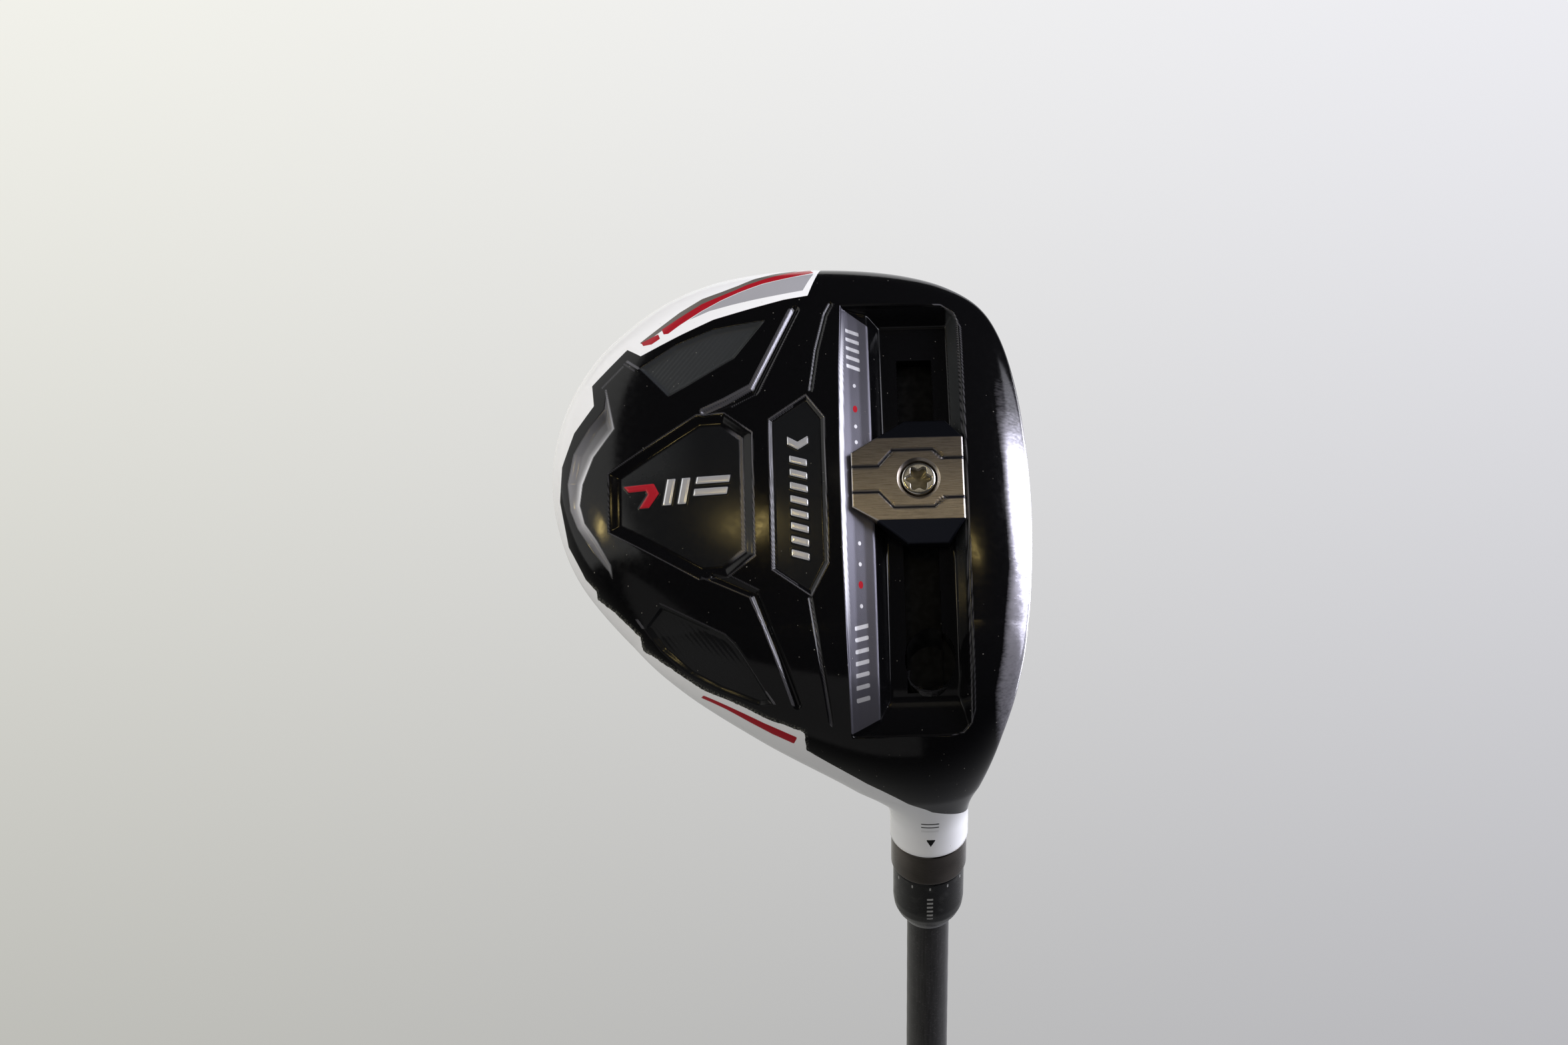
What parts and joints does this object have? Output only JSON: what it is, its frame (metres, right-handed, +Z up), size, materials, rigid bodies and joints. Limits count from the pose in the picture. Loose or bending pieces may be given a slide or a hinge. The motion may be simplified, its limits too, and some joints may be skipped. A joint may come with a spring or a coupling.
{
  "type": "fairway wood",
  "caption": "Golf fairway wood with hollow head, white crown, black sole, sliding sole weight on a track, removable loft sleeve, graphite shaft and rubber grip.",
  "frame": {"origin": "middle of the grip's flat butt face, on the shaft axis", "axes": "+Z runs up the shaft axis and out of the butt, so the head is at the -Z end. +X is the target side, which the face looks to. The toe lies towards -Y and the sole faces +Y and -Z. Turned by -32 degrees about X, the club stands at its 58 degree lie."},
  "size_m": [0.0933, 0.0911, 1.1308],
  "materials": {
    "sole_black": "gloss",
    "crown_white": "gloss",
    "face_grey": "satin dark coating",
    "plain_steel": "machined",
    "weight_steel": "brushed",
    "sleeve_alloy": "anodised grey",
    "collar_black": "gloss",
    "ring_grey": "satin",
    "shaft_graphite": "semi gloss",
    "plug_foam": "matte",
    "tape": "matte",
    "grip_rubber": "matte"
  },
  "bodies": {
    "shaft": {"shaft": "shaft_graphite", "loft_sleeve": "sleeve_alloy", "ferrule": "collar_black", "trim_ring": "ring_grey", "tip_plug": "plug_foam", "grip_tape": "tape", "grip": "grip_rubber", "grip_cap": "grip_rubber"},
    "head": {"head_body": "sole_black", "crown_shell": "crown_white", "face_plate": "face_grey", "hosel_insert": "plain_steel", "screw_retainer": "plain_steel"},
    "hosel_screw": {"hosel_screw": "plain_steel", "screw_washer": "plain_steel"},
    "weight": {"weight_block": "weight_steel", "clamp_plate": "plain_steel"},
    "weight_screw": {"weight_screw": "weight_steel"}
  },
  "joints": [
    {"name": "head_release", "type": "slide", "parent": "shaft", "child": "head", "axis": [0, 0, -1], "range_m": [0, 0.034]},
    {"name": "hosel_screw_turn", "type": "hinge", "parent": "head", "child": "hosel_screw", "pos_m": [0, 0, -1.08], "axis": [0, 0, -1], "range_deg": [0, 2700]},
    {"name": "weight_slide", "type": "hinge", "parent": "head", "child": "weight", "pos_m": [0, -0.10684, -0.97669], "axis": [1, 0, 0], "range_deg": [-6, 7]},
    {"name": "weight_screw_turn", "type": "hinge", "parent": "weight", "child": "weight_screw", "pos_m": [-0.00125, -0.02478, -1.11405], "axis": [0, 0.5128, -0.8585], "range_deg": [0, 720]}
  ]
}
